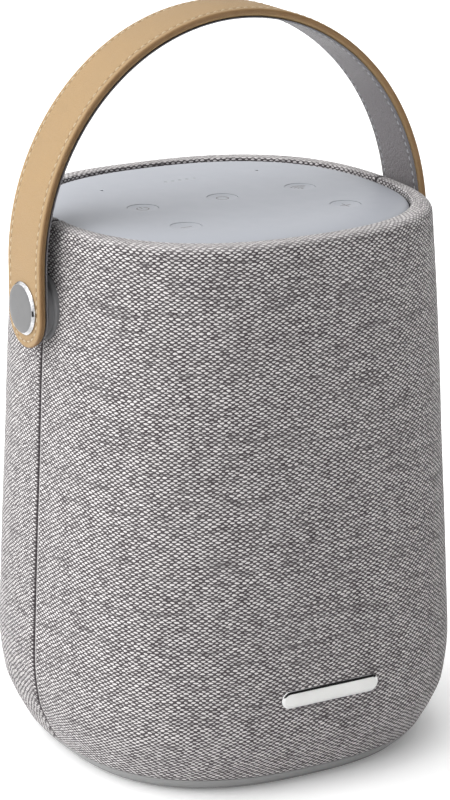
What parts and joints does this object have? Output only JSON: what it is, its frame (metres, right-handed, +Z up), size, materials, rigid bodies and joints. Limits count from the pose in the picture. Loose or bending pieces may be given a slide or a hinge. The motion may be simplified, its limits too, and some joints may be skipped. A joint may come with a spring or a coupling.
{
  "type": "smart speaker",
  "caption": "Portable smart speaker: knit-covered barrel body with a satin touch-key top panel, two-way driver set, passive radiator and a swinging leather carry strap.",
  "frame": {"origin": "centre of the foot ring on the surface that the speaker stands on", "axes": "+Z up, -Y front (badge side), +X to the right seen from the front"},
  "size_m": [0.144, 0.1359, 0.2394],
  "materials": {
    "knit": "two-tone heathered knit, light dashes over dark yarn",
    "shell_plastic": "moulded ABS, fine grain",
    "base_plastic": "soft-touch gray",
    "foot_rubber": "matt",
    "screw_steel": "zinc plated",
    "contact_gold": "gold plated",
    "panel_coat": "satin blue-gray",
    "clear_plastic": "clear polycarbonate",
    "circuit_board": "solder mask",
    "component_black": "moulded epoxy",
    "led_white": "gloss",
    "enclosure_plastic": "moulded",
    "driver_steel": "black zinc",
    "ferrite": "sintered",
    "cone_paper": "pressed pulp",
    "coil_copper": "enamelled wire",
    "surround_rubber": "butyl roll",
    "spider_cloth": "resin-dipped cotton",
    "dome_silk": "coated silk",
    "battery_wrap": "shrink sleeve",
    "can_steel": "tin plated",
    "sink_aluminium": "extruded",
    "cable_film": "polyimide film",
    "badge_metal": "satin anodised",
    "boss_plastic": "moulded nylon",
    "rivet_metal": "turned, satin face and polished rim",
    "spring_steel": "blued strip",
    "tan_leather": "vegetable tanned, fine grain",
    "gray_lining": "soft gray lining",
    "slider_plastic": "moulded"
  },
  "bodies": {
    "housing": {"fabric_front": "knit", "fabric_rear": "knit", "grille_shell_front": "shell_plastic", "grille_shell_rear": "shell_plastic", "base_tray": "base_plastic", "foot_ring": "foot_rubber", "base_screws": "screw_steel", "charging_contacts": "contact_gold", "top_frame": "shell_plastic", "control_panel": "panel_coat", "light_guide": "clear_plastic", "control_board": "circuit_board", "tact_switches": "component_black", "status_leds": "led_white", "microphones": "component_black", "enclosure_front": "enclosure_plastic", "enclosure_rear": "enclosure_plastic", "woofer_basket": "driver_steel", "woofer_screws": "screw_steel", "woofer_top_plate": "screw_steel", "woofer_magnet": "ferrite", "woofer_yoke": "screw_steel", "woofer_surround": "surround_rubber", "woofer_spider": "spider_cloth", "tweeter_housing": "enclosure_plastic", "tweeter_dome": "dome_silk", "tweeter_magnet": "can_steel", "radiator_frame": "enclosure_plastic", "radiator_surround": "surround_rubber", "battery_holder": "enclosure_plastic", "battery_cells": "battery_wrap", "main_board": "circuit_board", "shield_can": "can_steel", "heat_sink": "sink_aluminium", "ribbon_cable": "cable_film", "port_bezel": "boss_plastic", "port_board": "circuit_board", "usb_c_socket": "can_steel", "badge": "badge_metal", "pivot_boss_left": "boss_plastic", "pivot_boss_right": "boss_plastic"},
    "handle": {"strap_leather": "tan_leather", "strap_core": "spring_steel", "strap_lining": "gray_lining", "rivet_left": "rivet_metal", "rivet_right": "rivet_metal", "pivot_clips": "spring_steel"},
    "power_key": {"power_button": "panel_coat"},
    "assistant_key": {"assistant_button": "panel_coat"},
    "wireless_key": {"wireless_button": "panel_coat"},
    "volume_down_key": {"volume_down_button": "panel_coat"},
    "volume_up_key": {"volume_up_button": "panel_coat"},
    "woofer_piston": {"woofer_cone": "cone_paper", "woofer_voice_coil": "coil_copper", "woofer_dust_cap": "cone_paper"},
    "radiator_piston": {"radiator_diaphragm": "cone_paper"},
    "mute_switch": {"mute_slider": "slider_plastic"}
  },
  "joints": [
    {"name": "handle_swing", "type": "hinge", "parent": "housing", "child": "handle", "pos_m": [0, 0, 0.1511], "axis": [1, 0, 0], "range_deg": [-110, 110]},
    {"name": "power_press", "type": "slide", "parent": "housing", "child": "power_key", "axis": [0, 0, -1], "range_m": [0, 0.0005], "stiffness_N_per_m": 2000, "springref_m": -0.0003},
    {"name": "assistant_press", "type": "slide", "parent": "housing", "child": "assistant_key", "axis": [0, 0, -1], "range_m": [0, 0.0005], "stiffness_N_per_m": 2000, "springref_m": -0.0003},
    {"name": "wireless_press", "type": "slide", "parent": "housing", "child": "wireless_key", "axis": [0, 0, -1], "range_m": [0, 0.0005], "stiffness_N_per_m": 2000, "springref_m": -0.0003},
    {"name": "volume_down_press", "type": "slide", "parent": "housing", "child": "volume_down_key", "axis": [0, 0, -1], "range_m": [0, 0.0005], "stiffness_N_per_m": 2000, "springref_m": -0.0003},
    {"name": "volume_up_press", "type": "slide", "parent": "housing", "child": "volume_up_key", "axis": [0, 0, -1], "range_m": [0, 0.0005], "stiffness_N_per_m": 2000, "springref_m": -0.0003},
    {"name": "woofer_travel", "type": "slide", "parent": "housing", "child": "woofer_piston", "axis": [0, -1, 0], "range_m": [-0.003, 0.003], "stiffness_N_per_m": 1200, "deforming": ["woofer_surround", "woofer_spider"]},
    {"name": "radiator_travel", "type": "slide", "parent": "housing", "child": "radiator_piston", "axis": [0, 1, 0], "range_m": [-0.003, 0.003], "stiffness_N_per_m": 900, "deforming": ["radiator_surround"]},
    {"name": "mute_slide", "type": "slide", "parent": "housing", "child": "mute_switch", "axis": [1, 0, 0], "range_m": [-0.0015, 0.0015]}
  ]
}
